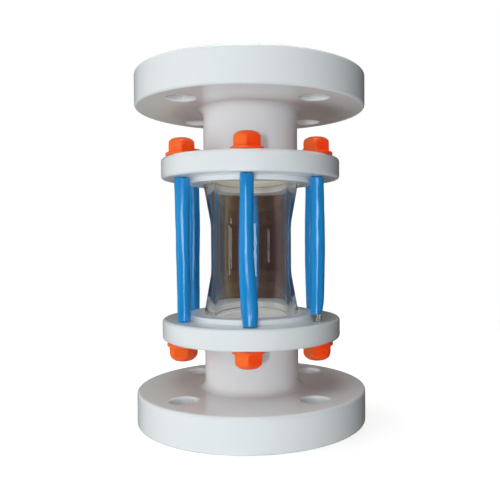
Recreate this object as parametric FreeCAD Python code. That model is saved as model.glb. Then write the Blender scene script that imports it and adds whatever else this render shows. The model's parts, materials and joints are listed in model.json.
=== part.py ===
import FreeCAD, Part
import math
import os

from FreeCAD import Vector

# Sight flow indicator for a 2 inch pipe: a flared glass tube clamped between two moulded flanged ends.
# Sizes are in millimetres and angles in degrees.
# Z is the flow axis. The origin is the centre of the lower pipe flange's face, on which the part stands.

# Passage through the part
flow_bore = 50.0

# Pipe flanges
pipe_flange_thick = 22.0
pipe_flange_rim = 19.05
pipe_flange_edge = 1.8
bolt_circle = 114.3
bolt_hole_dia = 18.0
bolt_hole_bevel = 0.6
bolt_count = 4
bolt_turn = 45.0

# Sealing grooves in each pipe flange's face
groove_count = 4
groove_setback = 5.0
groove_pitch = 4.0
groove_width = 1.2
groove_depth = 0.5

# Neck between the two flanges of an end
neck_length = 32.9
neck_wall = 6.5
neck_fillet = 4.5

# Clamp flanges
clamp_gap = 92.0
clamp_thick = 13.4
clamp_rim = 10.3
clamp_edge = 2.0

# Raised seat ring with the socket that takes the glass
seat_ring_wall = 10.0
seat_ring_height = 3.2
seat_ring_edge = 0.8
socket_engagement = 4.0
socket_clearance = 0.5

# Flared glass tube, with a bore that narrows less than its outside does
glass_end_wall = 7.0
glass_flare = 5.0
glass_bore_flare = 1.5
glass_waist_length = 33.0
glass_land = 2.8
glass_waist_blend = 45.0
glass_land_blend = 12.0
glass_fire_polish = 0.6

# Gaskets
gasket_thick = 2.0
gasket_setback = 1.0

# Tie rods
rod_count = 6
rod_dia = 6.0
rod_point = 0.8
rod_proud = 2.2
rod_hole_clearance = 0.5
rod_ring_gap = 1.4
first_rod_turn = -90.0

# Washers and nuts
washer_dia = 12.0
washer_thick = 1.6
washer_clearance = 0.2
nut_across_flats = 10.0
nut_height = 5.2
nut_corner_angle = 30.0
nut_bearing_share = 0.95
thread_clearance = 0.05

# Push-on nut caps
cap_wall = 2.85
cap_roof = 2.8
cap_corner = 0.7
cap_shoulder = 4.2
cap_crown = 0.6
cap_brim_wall = 2.8
cap_brim_thick = 1.8
cap_brim_edge = 0.6
cap_washer_room = 1.5
cap_socket_clearance = 0.15
cap_end_clearance = 0.4
cap_seat_gap = 0.1

# How far each nut and its cap stand turned from having a corner straight in front
upper_turns = (0.0, -4.0, 13.0, 21.0, -11.0, 6.0)
lower_turns = (0.0, -17.0, 8.0, -24.0, 17.0, 26.0)

# Soft sleeves on the rods
sleeve_wall = 0.8
sleeve_play = 0.8
sleeve_touch_gap = 0.1
sleeve_top_gap = 0.4
sleeve_sections = 7
sleeve_waves = 1.0
sleeve_cross_waves = 1.5
sleeve_phase = 0.94
sleeve_phase_step = 2.1
short_sleeve = 2
short_sleeve_gap = 4.0

# Diameters that follow from the sizes above, from the passage outwards
pipe_flange_dia = bolt_circle + 2 * pipe_flange_rim
neck_dia = flow_bore + 2 * neck_wall
gasket_bore = flow_bore + 2 * gasket_setback
glass_end_dia = flow_bore + 2 * glass_end_wall
glass_waist_dia = glass_end_dia - 2 * glass_flare
glass_waist_bore = flow_bore - 2 * glass_bore_flare
socket_dia = glass_end_dia + 2 * socket_clearance
seat_ring_dia = socket_dia + 2 * seat_ring_wall
sleeve_bore = rod_dia + 2 * sleeve_play
sleeve_sway = sleeve_play - sleeve_touch_gap
sleeve_reach = sleeve_bore / 2 + sleeve_wall + sleeve_sway
rod_circle = seat_ring_dia + 2 * (rod_ring_gap + sleeve_reach)
clamp_dia = rod_circle + 2 * clamp_rim
cap_socket_flats = nut_across_flats + 2 * cap_socket_clearance
cap_across_flats = cap_socket_flats + 2 * cap_wall
cap_brim_dia = washer_dia + 2 * (cap_washer_room + cap_brim_wall)

# Heights that follow from the sizes above
clamp_outer_z = pipe_flange_thick + neck_length
clamp_inner_z = clamp_outer_z + clamp_thick
mid_height = clamp_inner_z + clamp_gap / 2
seat_face_z = clamp_inner_z + seat_ring_height
socket_floor_z = seat_face_z - socket_engagement - gasket_thick
glass_half_length = mid_height - socket_floor_z - gasket_thick
upper_clamp_top_z = 2 * mid_height - clamp_outer_z
rod_stickout = washer_thick + nut_height + rod_proud
rod_half_length = mid_height - clamp_outer_z + rod_stickout
cap_depth = rod_stickout + cap_end_clearance
cap_height = cap_depth + cap_roof

UP = Vector(0, 0, 1)


def rounded_face(corners):
    """Face in the XZ plane from (radius, height, rounding) corners, each rounded by a tangent arc."""
    points = [Vector(r, 0, z) for r, z, rounding in corners]
    spans = []
    for n, (r, z, rounding) in enumerate(corners):
        corner = points[n]
        if rounding == 0:
            spans.append((corner, None, corner))
            continue
        back = (points[n - 1] - corner).normalize()
        ahead = (points[(n + 1) % len(points)] - corner).normalize()
        half_angle = back.getAngle(ahead) / 2
        reach = rounding / math.tan(half_angle)
        inset = rounding / math.sin(half_angle) - rounding
        middle = corner + (back + ahead).normalize() * inset
        spans.append((corner + back * reach, middle, corner + ahead * reach))
    edges = []
    for n, (start, middle, end) in enumerate(spans):
        edges.append(Part.makeLine(spans[n - 1][2], start))
        if middle:
            edges.append(Part.Arc(start, middle, end).toShape())
    return Part.Face(Part.Wire(edges))


def turned(corners):
    """Solid of revolution about Z from (radius, height, rounding) corners."""
    return rounded_face(corners).revolve(Vector(0, 0, 0), UP, 360)


def ring(outer_dia, inner_dia, height, z=0.0):
    """Plain flat ring whose underside is at height z."""
    base = Vector(0, 0, z)
    return Part.makeCylinder(outer_dia / 2, height, base).cut(Part.makeCylinder(inner_dia / 2, height, base))


def hexagon_prism(across_flats, height, z=0.0):
    """Hexagonal prism with one corner towards -Y and its underside at height z."""
    corner_radius = across_flats / math.sqrt(3)
    corners = []
    for n in range(7):
        angle = math.radians(60.0 * n - 90.0)
        corners.append(Vector(corner_radius * math.cos(angle), corner_radius * math.sin(angle), z))
    return Part.Face(Part.makePolygon(corners)).extrude(UP * height)


def around(shape, count, circle_dia, first_turn):
    """Copies of a shape, modelled on Z, set at equal angles on a circle."""
    copies = []
    for n in range(count):
        angle = math.radians(first_turn + 360.0 * n / count)
        copies.append(shape.translated(Vector(math.cos(angle), math.sin(angle), 0) * (circle_dia / 2)))
    return copies


def turned_over(shape):
    """The shape carried from the lower end to the upper end, by half a turn about X at mid height."""
    return shape.rotated(Vector(0, 0, mid_height), Vector(1, 0, 0), 180)


def flanged_end():
    """Lower end: pipe flange, neck, clamp flange and seat ring moulded as one piece."""
    bore = flow_bore / 2
    body = turned([
        (bore, 0, 0),
        (pipe_flange_dia / 2, 0, pipe_flange_edge),
        (pipe_flange_dia / 2, pipe_flange_thick, pipe_flange_edge),
        (neck_dia / 2, pipe_flange_thick, neck_fillet),
        (neck_dia / 2, clamp_outer_z, 0),
        (clamp_dia / 2, clamp_outer_z, clamp_edge),
        (clamp_dia / 2, clamp_inner_z, clamp_edge),
        (seat_ring_dia / 2, clamp_inner_z, 0),
        (seat_ring_dia / 2, seat_face_z, seat_ring_edge),
        (socket_dia / 2, seat_face_z, 0),
        (socket_dia / 2, socket_floor_z, 0),
        (bore, socket_floor_z, 0),
    ])
    rod_hole = Part.makeCylinder(rod_dia / 2 + rod_hole_clearance, clamp_thick, UP * clamp_outer_z)
    cuts = around(bolt_hole(), bolt_count, bolt_circle, bolt_turn)
    cuts += around(rod_hole, rod_count, rod_circle, first_rod_turn)
    for n in range(groove_count):
        inner = flow_bore + 2 * (groove_setback + groove_pitch * n)
        cuts.append(ring(inner + 2 * groove_width, inner, groove_depth))
    return body.cut(cuts)


def bolt_hole():
    """Tool for one bolt hole through the pipe flange, with a bevel at the mouth on the nut's side."""
    radius = bolt_hole_dia / 2
    return turned([
        (0, 0, 0),
        (radius, 0, 0),
        (radius, pipe_flange_thick - bolt_hole_bevel, 0),
        (radius + bolt_hole_bevel, pipe_flange_thick, 0),
        (0, pipe_flange_thick, 0),
    ])


def glass_side(end_dia, waist_dia):
    """Corners up one side of the glass's wall: a land in each socket, a flare from it and a straight waist."""
    lower = mid_height - glass_half_length
    upper = mid_height + glass_half_length
    return [
        (end_dia / 2, lower, glass_fire_polish),
        (end_dia / 2, lower + glass_land, glass_land_blend),
        (waist_dia / 2, mid_height - glass_waist_length / 2, glass_waist_blend),
        (waist_dia / 2, mid_height + glass_waist_length / 2, glass_waist_blend),
        (end_dia / 2, upper - glass_land, glass_land_blend),
        (end_dia / 2, upper, glass_fire_polish),
    ]


def sight_glass():
    """Glass tube with thick flared ends, whose bore is flush with the passage at both of them."""
    outside = glass_side(glass_end_dia, glass_waist_dia)
    inside = glass_side(flow_bore, glass_waist_bore)
    return turned(outside + inside[::-1])


def gasket():
    """Flat ring between the lower socket's floor and the glass."""
    return ring(glass_end_dia, gasket_bore, gasket_thick, socket_floor_z)


def tie_rod():
    """Straight rod with pointed ends, modelled on Z."""
    lower = mid_height - rod_half_length
    upper = mid_height + rod_half_length
    radius = rod_dia / 2
    return turned([
        (0, lower, 0),
        (radius - rod_point, lower, 0),
        (radius, lower + rod_point, 0),
        (radius, upper - rod_point, 0),
        (radius - rod_point, upper, 0),
        (0, upper, 0),
    ])


def washer():
    """Upper washer, modelled on Z at its own height."""
    return ring(washer_dia, rod_dia + 2 * washer_clearance, washer_thick, upper_clamp_top_z)


def nut():
    """Upper hexagon nut on its washer, with the corners bevelled at both ends."""
    underside = upper_clamp_top_z + washer_thick
    corner_radius = nut_across_flats / math.sqrt(3)
    bearing_radius = nut_bearing_share * nut_across_flats / 2
    bevel = (corner_radius - bearing_radius) * math.tan(math.radians(nut_corner_angle))
    thread_radius = rod_dia / 2 + thread_clearance
    envelope = turned([
        (thread_radius, underside, 0),
        (bearing_radius, underside, 0),
        (corner_radius, underside + bevel, 0),
        (corner_radius, underside + nut_height - bevel, 0),
        (bearing_radius, underside + nut_height, 0),
        (thread_radius, underside + nut_height, 0),
    ])
    return hexagon_prism(nut_across_flats, nut_height, underside).common(envelope)


def nut_cap():
    """Upper push-on cap: a domed hexagon with a brim, hollow for the washer, the nut and the rod's end."""
    seat = upper_clamp_top_z + cap_seat_gap
    prism = hexagon_prism(cap_across_flats, cap_height, seat)
    upright = [edge for edge in prism.Edges if edge.BoundBox.ZLength > cap_height / 2]
    prism = prism.makeFillet(cap_corner, upright)
    corner_radius = cap_across_flats / math.sqrt(3)
    dome = turned([
        (0, seat, 0),
        (corner_radius, seat, 0),
        (corner_radius, seat + cap_height - cap_crown, cap_shoulder),
        (0, seat + cap_height, 0),
    ])
    brim = turned([
        (0, seat, 0),
        (cap_brim_dia / 2, seat, 0),
        (cap_brim_dia / 2, seat + cap_brim_thick, cap_brim_edge),
        (0, seat + cap_brim_thick, 0),
    ])
    socket = hexagon_prism(cap_socket_flats, cap_depth, seat)
    washer_radius = washer_dia / 2 + cap_washer_room
    washer_space = Part.makeCylinder(washer_radius, washer_thick + cap_end_clearance, UP * seat)
    return prism.common(dome).fuse(brim).cut([socket, washer_space]).removeSplitter()


def sleeve(index, position):
    """Soft tube that leans and wanders about its rod within the play that it has there."""
    foot = clamp_inner_z
    if index == short_sleeve:
        foot += short_sleeve_gap
    length = clamp_inner_z + clamp_gap - sleeve_top_gap - foot
    phase = sleeve_phase + sleeve_phase_step * (index - 1)
    walls = []
    for radius in (sleeve_bore / 2 + sleeve_wall, sleeve_bore / 2):
        rims = []
        for n in range(sleeve_sections):
            share = n / (sleeve_sections - 1)
            wave = 2 * math.pi * sleeve_waves * share + phase
            lean = Vector(math.sin(wave), math.cos(sleeve_cross_waves * wave), 0)
            centre = position + lean * (sleeve_sway / math.sqrt(2)) + UP * (foot + length * share)
            rims.append(Part.Wire(Part.makeCircle(radius, centre, UP)))
        walls.append(Part.makeLoft(rims, True))
    return walls[0].cut(walls[1])


def beside_rod(shape, position, turn):
    """The shape, modelled on Z, turned about its own axis and moved to a rod."""
    return shape.rotated(Vector(0, 0, 0), UP, turn).translated(position)


def save(name, shape):
    """Write one node."""
    shape.exportStep("parts/" + name + ".step")


def main():
    os.makedirs("parts", exist_ok=True)
    lower_end = flanged_end()
    save("lower_flanged_end", lower_end)
    save("upper_flanged_end", turned_over(lower_end))
    save("sight_glass", sight_glass())
    save("lower_gasket", gasket())
    save("upper_gasket", turned_over(gasket()))

    upper_washers = []
    lower_washers = []
    upper_nuts = []
    lower_nuts = []
    for n in range(rod_count):
        index = n + 1
        angle = math.radians(first_rod_turn + 360.0 * n / rod_count)
        position = Vector(math.cos(angle), math.sin(angle), 0) * (rod_circle / 2)
        upper_turn = upper_turns[n % len(upper_turns)]
        lower_turn = lower_turns[n % len(lower_turns)]
        upper_washers.append(beside_rod(washer(), position, upper_turn))
        lower_washers.append(beside_rod(turned_over(washer()), position, lower_turn))
        upper_nuts.append(beside_rod(nut(), position, upper_turn))
        lower_nuts.append(beside_rod(turned_over(nut()), position, lower_turn))
        save("tie_rod_%d" % index, beside_rod(tie_rod(), position, 0))
        save("rod_sleeve_%d" % index, sleeve(index, position))
        save("upper_cap_%d" % index, beside_rod(nut_cap(), position, upper_turn))
        save("lower_cap_%d" % index, beside_rod(turned_over(nut_cap()), position, lower_turn))
    save("upper_washers", Part.makeCompound(upper_washers))
    save("lower_washers", Part.makeCompound(lower_washers))
    save("upper_nuts", Part.makeCompound(upper_nuts))
    save("lower_nuts", Part.makeCompound(lower_nuts))


main()
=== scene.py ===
import json
import math

import bpy
from mathutils import Matrix, Vector, noise

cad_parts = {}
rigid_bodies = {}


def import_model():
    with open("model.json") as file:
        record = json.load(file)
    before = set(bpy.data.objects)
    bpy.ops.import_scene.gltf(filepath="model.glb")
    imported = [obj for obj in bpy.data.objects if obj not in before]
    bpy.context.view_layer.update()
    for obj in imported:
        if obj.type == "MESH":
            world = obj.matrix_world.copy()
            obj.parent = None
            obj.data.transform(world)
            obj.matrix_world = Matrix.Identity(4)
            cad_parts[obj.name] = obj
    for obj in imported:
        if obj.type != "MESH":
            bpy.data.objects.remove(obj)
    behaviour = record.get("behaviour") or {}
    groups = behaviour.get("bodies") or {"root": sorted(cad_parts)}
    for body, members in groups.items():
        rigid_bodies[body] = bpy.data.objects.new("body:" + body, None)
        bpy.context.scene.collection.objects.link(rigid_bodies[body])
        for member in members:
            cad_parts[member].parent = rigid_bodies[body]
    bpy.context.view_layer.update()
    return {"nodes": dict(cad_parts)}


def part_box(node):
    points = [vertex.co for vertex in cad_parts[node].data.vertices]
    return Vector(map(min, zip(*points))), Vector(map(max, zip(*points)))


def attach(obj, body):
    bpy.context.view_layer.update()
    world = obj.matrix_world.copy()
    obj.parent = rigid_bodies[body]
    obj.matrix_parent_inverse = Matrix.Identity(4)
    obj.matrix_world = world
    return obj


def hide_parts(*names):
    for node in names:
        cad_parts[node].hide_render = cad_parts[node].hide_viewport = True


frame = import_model()

# Sizes are in metres and angles in degrees, unless a comment or a name says otherwise.
MM = 0.001

# Camera, as worked out from the photograph of 500 pixels a side
PHOTO_PIXELS = 500
SENSOR_MM = 36.0
FOCAL_PIXELS = 602.4
CENTRE_PIXEL = (275.36, 249.67)
CAMERA_DISTANCE = 0.4083
CAMERA_HEIGHT = 0.1229
CAMERA_ORBIT = 2.2
CAMERA_YAW = 2.30
CAMERA_PITCH = -1.34
CAMERA_ROLL = -0.355
CAMERA_CLIP = 0.01

# Nut caps, in millimetres: a dome that is lower and rounder than the solid's
CAP_HEIGHT = 11.5
CAP_SHOULDER = 6.0

# The solid's other sizes, in millimetres
CAP_CROWN = 0.6
CAP_FLATS = 16.0
CAP_CORNER = 0.7
CAP_BRIM = 1.8
CAP_BRIM_EDGE = 0.6
CAP_RECESS_DIA = 15.0
CAP_RECESS_DEPTH = 2.0
CAP_SOCKET_FLATS = 10.3
CAP_SOCKET_DEPTH = 9.4

# Fine roundings that the solid does without, in millimetres
CAP_RIDGE = 0.3
CAP_FILLET = 0.4
CAP_MOUTH_EDGE = 0.15
CAP_SOCKET_CORNER = 0.35

# How far each cap stands turned, as its solid does
UPPER_TURNS = (0.0, -4.0, 13.0, 21.0, -11.0, 6.0)
LOWER_TURNS = (0.0, -17.0, 8.0, -24.0, 17.0, 26.0)

# Where the rows of a cap's mesh lie: shares of a flat of its hexagon, of its crown and of its upright side,
# angles round its fillet and its brim's edge, and the steps round a corner and down the shoulder
FLAT_SHARES = (-1.0, -0.92, -0.6, -0.2, 0.2, 0.6, 0.92, 1.0)
CROWN_SHARES = (0.25, 0.5, 0.75, 0.92)
UPRIGHT_SHARES = (0.3, 0.65, 1.0)
FILLET_ANGLES = (30, 60, 90)
BRIM_ANGLES = (0, 22, 45, 68, 90)
CORNER_STEPS = 6
SHOULDER_STEPS = 12

# A hexagon's sides, and the angles from one to the next and from the middle of one to its corner
HEXAGON_SIDES = 6
HEXAGON_TURN = 60.0
HEXAGON_HALF_TURN = 30.0

# Tie rods: lengths in millimetres, rows of the mesh to each turn of the thread, and its sides
ROD_POINT = 0.8
THREAD_LENGTH = 27.0
THREAD_PITCH = 1.0
THREAD_DEPTH = 0.55
THREAD_ROWS = 6
THREAD_SIDES = 28

# Sleeves: lengths in millimetres, rows of the mesh and its sides
SLEEVE_RADIUS = 4.6
SLEEVE_WALL = 0.7
SLEEVE_TOUCH = 0.06
SLEEVE_ROWS = 110
SLEEVE_SIDES = 56

# Stations up each sleeve: share of its height, lean to the right and to the back, half of its width
SLEEVE_STATIONS = {
    1: ((0.0, 1.0, 0.2, 4.4), (0.08, 0.85, 0.2, 5.1), (0.24, -0.1, 0.1, 5.0), (0.5, -1.15, -0.1, 4.5),
        (0.89, -0.5, -0.3, 4.2), (1.0, -0.3, -0.2, 4.3)),
    2: ((0.0, -0.4, 0.2, 3.9), (0.07, 0.1, 0.2, 4.3), (0.3, 0.45, 0.0, 4.6), (0.5, 0.6, -0.2, 4.75),
        (0.8, 0.5, -0.1, 4.5), (1.0, 0.3, 0.1, 4.4)),
    3: ((0.0, 0.3, 0.0, 4.3), (0.3, -0.2, 0.2, 4.6), (0.6, -0.6, 0.1, 4.4), (1.0, 0.2, -0.2, 4.5)),
    4: ((0.0, -0.2, 0.1, 4.5), (0.35, 0.5, 0.1, 4.3), (0.7, 0.4, -0.2, 4.7), (1.0, -0.3, 0.0, 4.4)),
    5: ((0.0, -0.3, 0.1, 4.6), (0.4, 0.2, -0.1, 4.4), (0.7, 0.5, 0.1, 4.5), (1.0, 0.0, 0.2, 4.7)),
    6: ((0.0, 0.6, 0.0, 4.1), (0.1, 0.55, 0.1, 4.2), (0.3, 0.35, 0.1, 4.2), (0.5, 0.1, 0.0, 4.3),
        (0.8, 0.0, -0.1, 4.6), (1.0, 0.0, -0.1, 5.1)),
}

# Creases down each sleeve: bearing at the foot, turn up to the top, depth in millimetres
SLEEVE_CREASES = {
    1: ((-60.0, -25.0, 0.35), (130.0, 30.0, 0.3)),
    2: ((-75.0, 20.0, 0.35), (60.0, -30.0, 0.3)),
    3: ((-120.0, 25.0, 0.35),),
    4: ((80.0, -30.0, 0.35),),
    5: ((-50.0, 20.0, 0.35),),
    6: ((-100.0, 12.0, 0.4), (100.0, 30.0, 0.3)),
}

# Width of a crease, and how it fades up a sleeve: mean share of its depth, swing about that, wave in radians
CREASE_WIDTH = 16.0
CREASE_MEAN = 0.55
CREASE_SWING = 0.45
CREASE_WAVE = 5.1

# Dents in a sleeve: depth in millimetres, noise waves round it and up it, and from one sleeve to the next
DENT_DEPTH = 0.16
DENT_ROUND = 1.3
DENT_UP = 9.0
DENT_STEP = 7.0

# How far the cut at the foot of each sleeve slants, in millimetres, and the bearing of its high side
SLEEVE_SLANTS = {
    1: (0.5, -40.0),
    2: (2.2, 10.0),
    3: (0.4, 70.0),
    4: (0.6, 160.0),
    5: (0.5, -150.0),
    6: (0.7, 20.0),
}

# The cut at a sleeve's top slants the other way, by this share of the cut at its foot
TOP_SLANT = 0.25

# Dark and light tone of each mottled material, and the values of a noise that stand for them
WHITE_TONES = ((0.790, 0.803, 0.808), (0.808, 0.821, 0.826))
GASKET_TONES = ((0.70, 0.69, 0.65), (0.78, 0.77, 0.73))
STEEL_TONES = ((0.50, 0.48, 0.43), (0.66, 0.65, 0.61))
BLUE_TONES = ((0.010, 0.240, 0.600), (0.015, 0.292, 0.675))
ORANGE_TONES = ((0.950, 0.120, 0.009), (0.985, 0.145, 0.013))
FLOOR_TONES = ((0.78, 0.78, 0.78), (0.80, 0.80, 0.80))
NOISE_RANGE = (0.3, 0.7)

# Glass
GLASS_TINT = (0.970, 0.970, 0.962, 1.0)
GLASS_INDEX = 1.47

# Floor: its radius and sides, the share of the radius at which it starts to fade out, and its own light
FLOOR_RADIUS = 0.60
FLOOR_SIDES = 96
FLOOR_FADE_START = 0.25
FLOOR_GLOW = 0.68

# Room: colours of its walls by azimuth to the right of straight in front, colour of its floor and ceiling,
# and the slopes between which the walls end
ROOM_WALLS = (
    (-180.0, (0.060, 0.028, 0.018)),
    (-172.0, (0.062, 0.035, 0.022)),
    (-169.0, (0.160, 0.110, 0.050)),
    (-166.5, (0.070, 0.060, 0.048)),
    (-158.0, (0.080, 0.082, 0.088)),
    (-100.0, (0.090, 0.092, 0.097)),
    (-60.0, (0.060, 0.060, 0.060)),
    (60.0, (0.045, 0.042, 0.040)),
    (95.0, (0.050, 0.048, 0.048)),
    (115.0, (0.078, 0.078, 0.082)),
    (158.0, (0.080, 0.076, 0.080)),
    (166.0, (0.080, 0.068, 0.064)),
    (169.0, (0.120, 0.070, 0.048)),
    (172.0, (0.120, 0.060, 0.040)),
    (174.5, (0.044, 0.020, 0.013)),
    (177.5, (0.036, 0.018, 0.012)),
    (180.0, (0.060, 0.028, 0.018)),
)
ROOM_CEILING = (0.090, 0.086, 0.076, 1.0)
ROOM_WALL_EDGES = (0.20, 0.60)

# Height of the point that the lights are aimed at
LIGHT_TARGET = 0.114

# Colours of the lights
WHITE = (1.0, 1.0, 1.0)
DAYLIGHT = (0.90, 0.93, 0.975)
COOL = (0.90, 1.0, 1.0)
CAP_SUN = (1.0, 1.15, 0.80)
CAP_SHADE = (1.0, 0.22, 0.40)

# Kinds of ray that see a light
SOFT = ("diffuse",)
GLOSS = ("glossy",)
FULL = ("diffuse", "glossy", "transmission")

# Material slots that a light falls on, with none named where it falls on them all
ALL = ()
ALL_BUT_CAPS = ("white_plastic", "clear_glass", "gasket", "steel", "blue_sleeve")
CAPS = ("orange_cap",)
STEEL = ("steel",)
SHINY = ("clear_glass", "blue_sleeve", "steel")
MOULDED = ("white_plastic", "orange_cap")

# Lights: name, azimuth to the right of straight in front, elevation, distance, width, height, power in watts,
# colour, kinds of ray and material slots
LIGHTS = (
    ("front", 3.0, 0.0, 1.00, 0.50, 0.30, 3.0, DAYLIGHT, SOFT, ALL_BUT_CAPS),
    ("key", -9.0, 0.0, 1.00, 0.06, 0.20, 2.4, DAYLIGHT, SOFT, ALL_BUT_CAPS),
    ("cap_key", -44.0, 0.0, 1.00, 0.40, 0.90, 5.6, CAP_SUN, SOFT, CAPS),
    ("cap_fill", 46.0, 4.0, 1.00, 0.40, 0.30, 5.0, CAP_SHADE, SOFT, CAPS),
    ("window", 1.0, 0.0, 0.90, 0.50, 0.24, 2.8, DAYLIGHT, GLOSS, SHINY),
    ("gleam", 1.0, 0.0, 0.95, 0.50, 0.24, 0.35, DAYLIGHT, GLOSS, MOULDED),
    ("cap_gleam", -25.0, 40.0, 0.95, 0.15, 0.15, 0.3, WHITE, GLOSS, CAPS),
    ("steel_right", 75.0, 15.0, 0.90, 0.60, 0.60, 2.0, WHITE, GLOSS, STEEL),
    ("steel_left", -115.0, 15.0, 0.90, 0.60, 0.60, 2.0, WHITE, GLOSS, STEEL),
    ("above", -16.0, 58.0, 0.90, 0.50, 0.50, 2.5, COOL, FULL, ALL_BUT_CAPS),
    ("below", -16.0, -58.0, 0.90, 0.50, 0.50, 3.1, COOL, FULL, ALL),
    ("left", -95.0, 0.0, 0.90, 0.90, 0.60, 4.2, WHITE, SOFT, ALL),
    ("strip", -61.0, 0.0, 0.90, 0.08, 0.12, 0.10, WHITE, FULL, ALL),
    ("back", 165.0, 0.0, 0.90, 0.40, 0.40, 4.2, WHITE, SOFT, ALL),
    ("overhead", 0.0, 90.0, 0.90, 0.30, 0.30, 4.0, WHITE, FULL, ALL),
)

# Glows inside the tube, that stand for the light that comes through the ends' walls: name, tilt from straight
# down, power in watts and colour, and the cone and the width that both have
GLOWS = (
    ("glow_up", 180.0, 0.055, (1.0, 0.66, 0.30)),
    ("glow_down", 0.0, 0.055, (1.0, 0.90, 0.80)),
)
GLOW_CONE = 72.0
GLOW_WIDTH = 0.012


# Mesh helpers

def mix(a, b, share):
    """The value that lies a share of the way from a to b."""
    return a + (b - a) * share


def new_piece(name, vertices, faces):
    """Smooth-shaded mesh object from vertices and faces in metres."""
    mesh = bpy.data.meshes.new(name)
    mesh.from_pydata(vertices, [], faces)
    mesh.update()
    for polygon in mesh.polygons:
        polygon.use_smooth = True
    piece = bpy.data.objects.new(name, mesh)
    bpy.context.scene.collection.objects.link(piece)
    return piece


def upright_box(node):
    """Middle, half width, foot and top of a node's box as (x, y, half, foot, top), in millimetres."""
    low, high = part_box(node)
    x = (low[0] + high[0]) / 2 / MM
    y = (low[1] + high[1]) / 2 / MM
    half = (high[0] - low[0]) / 2 / MM
    return x, y, half, low[2] / MM, high[2] / MM


def ring_point(x, y, radius, bearing, z):
    """Point in metres at a radius and a bearing about an upright line, from lengths in millimetres."""
    angle = math.radians(bearing)
    return ((x + radius * math.cos(angle)) * MM, (y + radius * math.sin(angle)) * MM, z * MM)


def number_rings(rings):
    """Flat list of points and the matching rings of indices."""
    points = []
    numbers = []
    for ring in rings:
        numbers.append(list(range(len(points), len(points) + len(ring))))
        points.extend(ring)
    return points, numbers


def skin(rings, closed=False):
    """Faces between rings of equal length, with the last ring joined to the first if closed."""
    count = len(rings[0])
    faces = []
    pairs = list(zip(rings, rings[1:]))
    if closed:
        pairs.append((rings[-1], rings[0]))
    for low, high in pairs:
        for n in range(count):
            m = (n + 1) % count
            faces.append((low[n], low[m], high[m], high[n]))
    return faces


def skin_with_ends(rings, first_tip, last_tip):
    """Faces between rings of equal length, with a fan from a point to the ring at each end."""
    count = len(rings[0])
    faces = skin(rings)
    for n in range(count):
        m = (n + 1) % count
        faces.append((first_tip, rings[0][m], rings[0][n]))
        faces.append((last_tip, rings[-1][n], rings[-1][m]))
    return faces


# Nut caps

def flat_end(flats, corner):
    """Bearing from the middle of a rounded hexagon's side to the end of its flat."""
    apothem = flats / 2
    return math.degrees(math.atan((apothem - corner) * math.tan(math.radians(HEXAGON_HALF_TURN)) / apothem))


def hexagon_bearings(flats, corner):
    """Bearings all round a rounded hexagon, counted from the middle of a side and closer at its corners."""
    end = flat_end(flats, corner)
    steps = [end * share for share in FLAT_SHARES]
    steps += [mix(end, HEXAGON_TURN - end, n / CORNER_STEPS) for n in range(1, CORNER_STEPS)]
    return [HEXAGON_TURN * side + step for side in range(HEXAGON_SIDES) for step in steps]


def hexagon_radius(bearing, flats, corner):
    """Radius of a rounded hexagon at a bearing from the middle of one of its sides."""
    apothem = flats / 2
    off = abs((bearing + HEXAGON_HALF_TURN) % HEXAGON_TURN - HEXAGON_HALF_TURN)
    if off <= flat_end(flats, corner):
        return apothem / math.cos(math.radians(off))
    centre = (apothem - corner) / math.cos(math.radians(HEXAGON_HALF_TURN))
    swing = math.radians(HEXAGON_HALF_TURN - off)
    return centre * math.cos(swing) + math.sqrt(corner ** 2 - (centre * math.sin(swing)) ** 2)


def soft_least(a, b, width):
    """The lesser of two values, with a rounded change from one to the other."""
    share = max(width - abs(a - b), 0.0) / width
    return min(a, b) - share * share * width / 4


def cap_dome():
    """Outline of a cap's dome, from near its middle to its upright side, as (radius, height)."""
    side = CAP_FLATS / math.sqrt(3)
    slope = math.atan2(CAP_CROWN, side)
    turn = math.pi / 2 - slope
    reach = CAP_SHOULDER * math.tan(turn / 2)
    centre_radius = side - CAP_SHOULDER
    centre_height = CAP_HEIGHT - CAP_CROWN - reach
    crown_end = side - reach * math.cos(slope)
    outline = []
    for share in CROWN_SHARES:
        radius = crown_end * share
        outline.append((radius, CAP_HEIGHT - CAP_CROWN * radius / side))
    for n in range(SHOULDER_STEPS + 1):
        angle = turn * (1 - n / SHOULDER_STEPS)
        radius = centre_radius + CAP_SHOULDER * math.cos(angle)
        outline.append((radius, centre_height + CAP_SHOULDER * math.sin(angle)))
    return outline


def cap_outside(sides, brim_radius):
    """Rows over a cap's outside from its crown to its brim, each a list of (radius, height) round it."""
    dome = cap_dome()
    rows = []
    for radius, z in dome:
        rows.append([(soft_least(radius, side, CAP_RIDGE), z) for side in sides])
    shoulder_end = dome[-1][1]
    foot = CAP_BRIM + CAP_FILLET
    for share in UPRIGHT_SHARES:
        z = mix(shoulder_end, foot, share)
        rows.append([(side, z) for side in sides])
    for angle in FILLET_ANGLES:
        out = CAP_FILLET * (1 - math.cos(math.radians(angle)))
        drop = CAP_FILLET * math.sin(math.radians(angle))
        rows.append([(side + out, foot - drop) for side in sides])
    for angle in BRIM_ANGLES:
        out = CAP_BRIM_EDGE * math.sin(math.radians(angle))
        drop = CAP_BRIM_EDGE * (1 - math.cos(math.radians(angle)))
        rows.append([(brim_radius - CAP_BRIM_EDGE + out, CAP_BRIM - drop)] * len(sides))
    return rows


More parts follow.
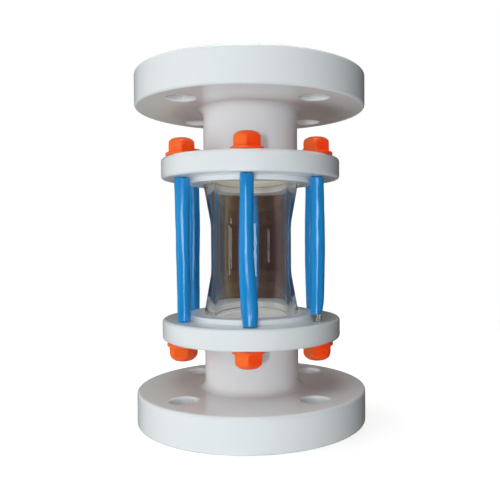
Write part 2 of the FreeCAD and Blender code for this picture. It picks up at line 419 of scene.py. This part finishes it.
def cap_hollow(sockets, brim_radius):
    """Rows from the brim's foot to the roof of a cap's hollow, each a list of (radius, height) round it."""
    recess = CAP_RECESS_DIA / 2
    round_rows = (
        (brim_radius, CAP_MOUTH_EDGE),
        (brim_radius - CAP_MOUTH_EDGE, 0.0),
        (recess + CAP_MOUTH_EDGE, 0.0),
        (recess, CAP_MOUTH_EDGE),
        (recess, CAP_RECESS_DEPTH - CAP_MOUTH_EDGE),
        (recess - CAP_MOUTH_EDGE, CAP_RECESS_DEPTH),
    )
    socket_rows = (
        (CAP_MOUTH_EDGE, CAP_RECESS_DEPTH),
        (0.0, CAP_RECESS_DEPTH + CAP_MOUTH_EDGE),
        (0.0, CAP_SOCKET_DEPTH - CAP_MOUTH_EDGE),
        (-CAP_MOUTH_EDGE, CAP_SOCKET_DEPTH),
    )
    rows = [[corner] * len(sockets) for corner in round_rows]
    for growth, z in socket_rows:
        rows.append([(socket + growth, z) for socket in sockets])
    return rows


def cap_mesh(name, brim_radius):
    """Cap standing on its mouth at the origin, with a side of its hexagon towards +X."""
    bearings = hexagon_bearings(CAP_FLATS, CAP_CORNER)
    sides = [hexagon_radius(bearing, CAP_FLATS, CAP_CORNER) for bearing in bearings]
    sockets = [hexagon_radius(bearing, CAP_SOCKET_FLATS, CAP_SOCKET_CORNER) for bearing in bearings]
    rings = []
    for row in cap_outside(sides, brim_radius) + cap_hollow(sockets, brim_radius):
        rings.append([ring_point(0, 0, radius, bearing, z) for bearing, (radius, z) in zip(bearings, row)])
    points, numbers = number_rings(rings)
    crown = len(points)
    roof = crown + 1
    points += [(0, 0, CAP_HEIGHT * MM), (0, 0, CAP_SOCKET_DEPTH * MM)]
    # The rows run downwards first, so each face is turned over to look outwards
    faces = [face[::-1] for face in skin_with_ends(numbers, crown, roof)]
    return new_piece(name, points, faces)


def make_cap(node, turn, material):
    """Cap that stands for its solid, mouth down on an upper rod end and mouth up on a lower one."""
    x, y, brim_radius, foot, top = upright_box(node)
    cap = cap_mesh(node + "_look", brim_radius)
    place = Matrix.Rotation(math.radians(turn), 4, "Z")
    mouth = foot
    if node.startswith("lower"):
        place = place @ Matrix.Rotation(math.pi, 4, "X")
        mouth = top
    cap.data.transform(Matrix.Translation((x * MM, y * MM, mouth * MM)) @ place)
    cap.data.materials.append(material)
    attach(cap, node)
    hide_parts(node)


# Tie rods

def thread_ring(x, y, z, radius, end_distance):
    """One row of a rod's surface, on its thread near an end of the rod and plain elsewhere."""
    run_out = min(max((THREAD_LENGTH - end_distance) / THREAD_PITCH, 0.0), 1.0)
    point_limit = radius - ROD_POINT + end_distance
    ring = []
    for n in range(THREAD_SIDES):
        share = n / THREAD_SIDES
        phase = (z / THREAD_PITCH - share) % 1.0
        depth = THREAD_DEPTH * (1 - abs(2 * phase - 1)) * run_out
        ring.append(ring_point(x, y, min(radius - depth, point_limit), 360.0 * share, z))
    return ring


def make_rod(node, material):
    """Rod with a rolled thread at each end, that stands for its solid."""
    x, y, radius, foot, top = upright_box(node)
    step = THREAD_PITCH / THREAD_ROWS
    count = round(THREAD_LENGTH / step)
    heights = [foot + step * n for n in range(count + 1)]
    heights += [top - step * n for n in range(count, -1, -1)]
    rings = [thread_ring(x, y, z, radius, min(z - foot, top - z)) for z in heights]
    points, numbers = number_rings(rings)
    tip = len(points)
    points += [(x * MM, y * MM, foot * MM), (x * MM, y * MM, top * MM)]
    rod = new_piece(node + "_look", points, skin_with_ends(numbers, tip, tip + 1))
    rod.data.materials.append(material)
    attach(rod, "frame")
    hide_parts(node)


# Sleeves

def between_stations(stations, share):
    """Values at a share of the height, on a smooth curve through the stations."""
    for n, (low, high) in enumerate(zip(stations, stations[1:])):
        if share <= high[0]:
            break
    before = stations[max(n - 1, 0)]
    after = stations[min(n + 2, len(stations) - 1)]
    span = high[0] - low[0]
    t = (share - low[0]) / span
    values = []
    for k in range(1, len(low)):
        start_slope = (high[k] - before[k]) / (high[0] - before[0]) * span
        end_slope = (after[k] - low[k]) / (after[0] - low[0]) * span
        values.append(
            (2 * t ** 3 - 3 * t ** 2 + 1) * low[k] + (t ** 3 - 2 * t ** 2 + t) * start_slope
            + (3 * t ** 2 - 2 * t ** 3) * high[k] + (t ** 3 - t ** 2) * end_slope
        )
    return values


def leaning_ellipse(bearing, lean_x, lean_y, half_width, half_depth):
    """Distance at a bearing from a rod's axis to an ellipse whose middle leans away from that axis."""
    across = math.cos(math.radians(bearing))
    back = math.sin(math.radians(bearing))
    # Terms of the quadratic equation for that distance
    a = (across / half_width) ** 2 + (back / half_depth) ** 2
    b = across * lean_x / half_width ** 2 + back * lean_y / half_depth ** 2
    c = (lean_x / half_width) ** 2 + (lean_y / half_depth) ** 2 - 1
    return (b + math.sqrt(b * b - a * c)) / a


def sleeve_radius(index, share, bearing, rod_radius):
    """Outer radius of a sleeve about its rod's axis, in millimetres, with its lean, creases and dents."""
    lean_x, lean_y, half_width = between_stations(SLEEVE_STATIONS[index], share)
    half_depth = math.sqrt(2 * SLEEVE_RADIUS ** 2 - half_width ** 2)
    radius = leaning_ellipse(bearing, lean_x, lean_y, half_width, half_depth)
    for foot_bearing, turn, depth in SLEEVE_CREASES[index]:
        off = (bearing - foot_bearing - turn * share + 180.0) % 360.0 - 180.0
        # The foot's bearing also sets where the wave starts, so that creases fade at different heights
        fade = CREASE_MEAN + CREASE_SWING * math.sin(CREASE_WAVE * share + foot_bearing)
        radius -= depth * fade * math.exp(-(off / CREASE_WIDTH) ** 2)
    angle = math.radians(bearing)
    dent_place = (
        math.cos(angle) * DENT_ROUND + DENT_STEP * index,
        math.sin(angle) * DENT_ROUND,
        share * DENT_UP,
    )
    radius += DENT_DEPTH * noise.noise(Vector(dent_place))
    return max(radius, rod_radius + 2 * SLEEVE_TOUCH + SLEEVE_WALL / 2)


def make_sleeve(node, index, material):
    """Soft tube with a wall, pushed over its rod, that stands for its solid."""
    x, y, rod_radius = upright_box("tie_rod_%d" % index)[:3]
    foot, top = upright_box(node)[3:]
    slant, slant_bearing = SLEEVE_SLANTS[index]
    outer = []
    inner = []
    for row in range(SLEEVE_ROWS + 1):
        share = row / SLEEVE_ROWS
        outer_ring = []
        inner_ring = []
        for n in range(SLEEVE_SIDES):
            bearing = 360.0 * n / SLEEVE_SIDES
            radius = sleeve_radius(index, share, bearing, rod_radius)
            inside = max(radius - SLEEVE_WALL, rod_radius + SLEEVE_TOUCH)
            rise = slant * (1 + math.cos(math.radians(bearing - slant_bearing))) / 2
            z = mix(foot + rise, top - rise * TOP_SLANT, share)
            outer_ring.append(ring_point(x, y, radius, bearing, z))
            inner_ring.append(ring_point(x, y, inside, bearing, z))
        outer.append(outer_ring)
        inner.append(inner_ring)
    points, numbers = number_rings(outer + inner[::-1])
    sleeve = new_piece(node + "_look", points, skin(numbers, closed=True))
    sleeve.data.materials.append(material)
    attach(sleeve, "frame")
    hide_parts(node)


# Shader helpers

def new_material(name):
    """Material with its tree and its main shader."""
    material = bpy.data.materials.new(name)
    material.use_nodes = True
    tree = material.node_tree
    return material, tree, tree.nodes["Principled BSDF"]


def add_noise(tree, scale, detail=3.0, roughness=0.5, stretch=(1.0, 1.0, 1.0)):
    """Values of a noise over the object's own coordinates, with a scale in waves per metre."""
    place = tree.nodes.new("ShaderNodeTexCoord")
    mapping = tree.nodes.new("ShaderNodeMapping")
    mapping.inputs["Scale"].default_value = stretch
    tree.links.new(place.outputs["Object"], mapping.inputs["Vector"])
    texture = tree.nodes.new("ShaderNodeTexNoise")
    texture.inputs["Scale"].default_value = scale
    texture.inputs["Detail"].default_value = detail
    texture.inputs["Roughness"].default_value = roughness
    tree.links.new(mapping.outputs["Vector"], texture.inputs["Vector"])
    return texture.outputs["Fac"]


def ramp_colour(tree, value, stops):
    """Colour ramp over a value, from (position, colour) stops."""
    ramp = tree.nodes.new("ShaderNodeValToRGB")
    elements = ramp.color_ramp.elements
    while len(elements) < len(stops):
        elements.new(0.5)
    for element, (position, colour) in zip(elements, stops):
        element.position = position
        element.color = (*colour, 1.0)
    tree.links.new(value, ramp.inputs["Fac"])
    return ramp.outputs["Color"]


def map_value(tree, value, source, target=(0.0, 1.0), step="LINEAR"):
    """Value carried from one range to another, by a linear or a smooth step."""
    node = tree.nodes.new("ShaderNodeMapRange")
    node.interpolation_type = step
    node.inputs["From Min"].default_value = source[0]
    node.inputs["From Max"].default_value = source[1]
    node.inputs["To Min"].default_value = target[0]
    node.inputs["To Max"].default_value = target[1]
    tree.links.new(value, node.inputs["Value"])
    return node.outputs["Result"]


def add_math(tree, operation, *values):
    """Result of an operation on sockets and numbers."""
    node = tree.nodes.new("ShaderNodeMath")
    node.operation = operation
    for entry, value in zip(node.inputs, values):
        if isinstance(value, float):
            entry.default_value = value
        else:
            tree.links.new(value, entry)
    return node.outputs["Value"]


def add_tones(tree, shader, value, tones):
    """Base colour that goes from a dark to a light tone with a noise."""
    colour = ramp_colour(tree, value, list(zip(NOISE_RANGE, tones)))
    tree.links.new(colour, shader.inputs["Base Color"])


def add_roughness(tree, shader, value, at_low, at_high):
    """Roughness that goes from one value at a noise's low end to another at its high end."""
    roughness = map_value(tree, value, NOISE_RANGE, (at_low, at_high))
    tree.links.new(roughness, shader.inputs["Roughness"])


def add_bump(tree, shader, value, depth, strength):
    """Fine relief of a depth in metres."""
    bump = tree.nodes.new("ShaderNodeBump")
    bump.inputs["Distance"].default_value = depth
    bump.inputs["Strength"].default_value = strength
    tree.links.new(value, bump.inputs["Height"])
    tree.links.new(bump.outputs["Normal"], shader.inputs["Normal"])


# Materials

def white_plastic():
    """Satin moulded plastic, slightly mottled, with a fine orange-peel skin."""
    material, tree, shader = new_material("white_plastic")
    mottle = add_noise(tree, scale=26.0, detail=5.0, roughness=0.6)
    wipe = add_noise(tree, scale=60.0, detail=4.0)
    peel = add_noise(tree, scale=180.0, detail=1.0)
    add_tones(tree, shader, mottle, WHITE_TONES)
    add_roughness(tree, shader, wipe, at_low=0.17, at_high=0.21)
    add_bump(tree, shader, peel, depth=0.12 * MM, strength=0.03)
    return material


def clear_glass():
    """Clear drawn glass with faint lengthwise waviness."""
    material, tree, shader = new_material("clear_glass")
    smear = add_noise(tree, scale=45.0, detail=4.0)
    waves = add_noise(tree, scale=40.0, detail=0.0, stretch=(1.0, 1.0, 0.05))
    shader.inputs["Base Color"].default_value = GLASS_TINT
    shader.inputs["Transmission Weight"].default_value = 1.0
    shader.inputs["IOR"].default_value = GLASS_INDEX
    add_roughness(tree, shader, smear, at_low=0.0, at_high=0.035)
    add_bump(tree, shader, waves, depth=0.2 * MM, strength=0.02)
    return material


def gasket_white():
    """Matt fluoropolymer."""
    material, tree, shader = new_material("gasket")
    mottle = add_noise(tree, scale=300.0)
    grain = add_noise(tree, scale=1500.0)
    add_tones(tree, shader, mottle, GASKET_TONES)
    shader.inputs["Roughness"].default_value = 0.6
    add_bump(tree, shader, grain, depth=0.1 * MM, strength=0.15)
    return material


def zinc_steel():
    """Bright zinc plating with duller patches and fine upright marks."""
    material, tree, shader = new_material("steel")
    patches = add_noise(tree, scale=220.0, detail=4.0)
    marks = add_noise(tree, scale=900.0, detail=1.0, stretch=(1.0, 1.0, 0.2))
    shader.inputs["Metallic"].default_value = 1.0
    add_tones(tree, shader, patches, STEEL_TONES)
    add_roughness(tree, shader, patches, at_low=0.42, at_high=0.26)
    add_bump(tree, shader, marks, depth=0.08 * MM, strength=0.05)
    return material


def blue_sleeve():
    """Soft glossy tube with a faint drawn grain."""
    material, tree, shader = new_material("blue_sleeve")
    streaks = add_noise(tree, scale=240.0, detail=3.0, stretch=(1.0, 1.0, 0.06))
    grain = add_noise(tree, scale=420.0, detail=2.0, stretch=(1.0, 1.0, 0.1))
    add_tones(tree, shader, streaks, BLUE_TONES)
    add_roughness(tree, shader, streaks, at_low=0.15, at_high=0.22)
    add_bump(tree, shader, grain, depth=0.12 * MM, strength=0.12)
    return material


def orange_plastic():
    """Moulded soft plastic with a fine grain."""
    material, tree, shader = new_material("orange_cap")
    mottle = add_noise(tree, scale=160.0, detail=4.0)
    grain = add_noise(tree, scale=1300.0, detail=2.0)
    add_tones(tree, shader, mottle, ORANGE_TONES)
    add_roughness(tree, shader, mottle, at_low=0.26, at_high=0.34)
    add_bump(tree, shader, grain, depth=0.1 * MM, strength=0.10)
    return material


# Studio

def floor_material():
    """Pale matt floor with some light of its own, that fades out towards its rim."""
    material, tree, shader = new_material("floor")
    add_tones(tree, shader, add_noise(tree, scale=3.0), FLOOR_TONES)
    shader.inputs["Roughness"].default_value = 0.9
    shader.inputs["Emission Color"].default_value = (1.0, 1.0, 1.0, 1.0)
    shader.inputs["Emission Strength"].default_value = FLOOR_GLOW
    place = tree.nodes.new("ShaderNodeTexCoord")
    distance = tree.nodes.new("ShaderNodeVectorMath")
    distance.operation = "LENGTH"
    tree.links.new(place.outputs["Object"], distance.inputs[0])
    fade_span = (FLOOR_RADIUS * FLOOR_FADE_START, FLOOR_RADIUS)
    fade = map_value(tree, distance.outputs["Value"], fade_span, (1.0, 0.0), "SMOOTHSTEP")
    tree.links.new(fade, shader.inputs["Alpha"])
    return material


def make_floor():
    """Round floor under the part, which the camera sees and which lights nothing."""
    points = []
    for n in range(FLOOR_SIDES):
        angle = 2 * math.pi * n / FLOOR_SIDES
        points.append((FLOOR_RADIUS * math.cos(angle), FLOOR_RADIUS * math.sin(angle), 0.0))
    floor = new_piece("floor", points, [tuple(range(FLOOR_SIDES))])
    floor.data.materials.append(floor_material())
    floor.visible_diffuse = False
    floor.visible_glossy = False
    floor.visible_transmission = False
    floor.visible_shadow = False


def make_world():
    """Dim room that is brown straight behind, with a white backdrop for the camera alone."""
    world = bpy.data.worlds.new("studio")
    bpy.context.scene.world = world
    world.use_nodes = True
    tree = world.node_tree
    tree.nodes.clear()
    place = tree.nodes.new("ShaderNodeTexCoord")
    parts = tree.nodes.new("ShaderNodeSeparateXYZ")
    tree.links.new(place.outputs["Generated"], parts.inputs["Vector"])
    slope = add_math(tree, "ABSOLUTE", parts.outputs["Z"])
    ahead = add_math(tree, "MULTIPLY", parts.outputs["Y"], -1.0)
    azimuth = add_math(tree, "ARCTAN2", parts.outputs["X"], ahead)
    turn = map_value(tree, azimuth, (-math.pi, math.pi))
    walls = [((angle + 180.0) / 360.0, colour) for angle, colour in ROOM_WALLS]
    blend = tree.nodes.new("ShaderNodeMix")
    blend.data_type = "RGBA"
    tree.links.new(map_value(tree, slope, ROOM_WALL_EDGES, step="SMOOTHSTEP"), blend.inputs["Factor"])
    tree.links.new(ramp_colour(tree, turn, walls), blend.inputs["A"])
    blend.inputs["B"].default_value = ROOM_CEILING
    room = tree.nodes.new("ShaderNodeBackground")
    tree.links.new(blend.outputs["Result"], room.inputs["Color"])
    backdrop = tree.nodes.new("ShaderNodeBackground")
    backdrop.inputs["Color"].default_value = (1.0, 1.0, 1.0, 1.0)
    path = tree.nodes.new("ShaderNodeLightPath")
    chooser = tree.nodes.new("ShaderNodeMixShader")
    tree.links.new(path.outputs["Is Camera Ray"], chooser.inputs["Fac"])
    tree.links.new(room.outputs["Background"], chooser.inputs[1])
    tree.links.new(backdrop.outputs["Background"], chooser.inputs[2])
    output = tree.nodes.new("ShaderNodeOutputWorld")
    tree.links.new(chooser.outputs["Shader"], output.inputs["Surface"])


def show_to(lamp, kinds):
    """Put a lamp in the scene, seen by some kinds of ray alone."""
    lamp.visible_camera = False
    lamp.visible_diffuse = "diffuse" in kinds
    lamp.visible_glossy = "glossy" in kinds
    lamp.visible_transmission = "transmission" in kinds
    bpy.context.scene.collection.objects.link(lamp)


def make_light(name, azimuth, elevation, distance, width, height, power, colour, kinds, lit_materials):
    """Soft light aimed at the middle of the part, on the pieces of some materials or on all of them."""
    light = bpy.data.lights.new(name, "AREA")
    light.shape = "RECTANGLE"
    light.size = width
    light.size_y = height
    light.energy = power
    light.color = colour
    turn = math.radians(azimuth)
    rise = math.radians(elevation)
    out = Vector((math.cos(rise) * math.sin(turn), -math.cos(rise) * math.cos(turn), math.sin(rise)))
    lamp = bpy.data.objects.new(name, light)
    lamp.location = Vector((0, 0, LIGHT_TARGET)) + out * distance
    lamp.rotation_euler = (math.pi / 2 - rise, 0, turn)
    show_to(lamp, kinds)
    if lit_materials:
        lit_pieces = bpy.data.collections.new(name + "_lights")
        for piece in bpy.context.scene.objects:
            if piece.type == "MESH" and piece.active_material in lit_materials:
                lit_pieces.objects.link(piece)
        lamp.light_linking.receiver_collection = lit_pieces


def make_glow(name, tilt, power, colour):
    """Spot light in the middle of the tube, aimed at one of its ends."""
    light = bpy.data.lights.new(name, "SPOT")
    light.energy = power
    light.color = colour
    light.spot_size = math.radians(GLOW_CONE)
    light.shadow_soft_size = GLOW_WIDTH
    lamp = bpy.data.objects.new(name, light)
    lamp.location = (0, 0, LIGHT_TARGET)
    lamp.rotation_euler = (math.radians(tilt), 0, 0)
    show_to(lamp, SOFT)


def make_camera():
    """Camera where the photograph was taken from, with its framing."""
    orbit = math.radians(CAMERA_ORBIT)
    heading = math.radians(CAMERA_YAW - CAMERA_ORBIT)
    pitch = math.radians(CAMERA_PITCH)
    roll = math.radians(CAMERA_ROLL)
    level_reach = math.cos(pitch)
    forward = Vector((math.sin(heading) * level_reach, math.cos(heading) * level_reach, math.sin(pitch)))
    level = forward.cross(Vector((0, 0, 1))).normalized()
    upright = level.cross(forward)
    right = level * math.cos(roll) + upright * math.sin(roll)
    up = upright * math.cos(roll) - level * math.sin(roll)
    camera = bpy.data.cameras.new("camera")
    camera.sensor_width = SENSOR_MM
    camera.lens = FOCAL_PIXELS * SENSOR_MM / PHOTO_PIXELS
    camera.shift_x = 0.5 - CENTRE_PIXEL[0] / PHOTO_PIXELS
    camera.shift_y = CENTRE_PIXEL[1] / PHOTO_PIXELS - 0.5
    camera.clip_start = CAMERA_CLIP
    eye = bpy.data.objects.new("camera", camera)
    turn = Matrix((right, up, -forward)).transposed().to_4x4()
    place = (CAMERA_DISTANCE * math.sin(orbit), -CAMERA_DISTANCE * math.cos(orbit), CAMERA_HEIGHT)
    eye.matrix_world = Matrix.Translation(place) @ turn
    bpy.context.scene.collection.objects.link(eye)
    bpy.context.scene.camera = eye


def paint(nodes, material):
    """Give the CAD nodes a material."""
    for node in nodes:
        mesh = frame["nodes"][node].data
        mesh.materials.clear()
        mesh.materials.append(material)


def main():
    """Paint the CAD nodes, make the pieces that stand for some of them, and set up the studio."""
    finishes = {
        "white_plastic": white_plastic(),
        "clear_glass": clear_glass(),
        "gasket": gasket_white(),
        "steel": zinc_steel(),
        "blue_sleeve": blue_sleeve(),
        "orange_cap": orange_plastic(),
    }
    paint(["lower_flanged_end", "upper_flanged_end"], finishes["white_plastic"])
    paint(["sight_glass"], finishes["clear_glass"])
    frame["nodes"]["sight_glass"].visible_shadow = False
    paint(["lower_gasket", "upper_gasket"], finishes["gasket"])
    paint(["upper_washers", "lower_washers", "upper_nuts", "lower_nuts"], finishes["steel"])
    for index, (upper_turn, lower_turn) in enumerate(zip(UPPER_TURNS, LOWER_TURNS), start=1):
        make_rod("tie_rod_%d" % index, finishes["steel"])
        make_sleeve("rod_sleeve_%d" % index, index, finishes["blue_sleeve"])
        make_cap("upper_cap_%d" % index, upper_turn, finishes["orange_cap"])
        make_cap("lower_cap_%d" % index, lower_turn, finishes["orange_cap"])
    make_floor()
    make_world()
    for *light, slots in LIGHTS:
        make_light(*light, [finishes[slot] for slot in slots])
    for glow in GLOWS:
        make_glow(*glow)
    make_camera()
    bpy.context.scene.view_settings.view_transform = "Standard"


main()
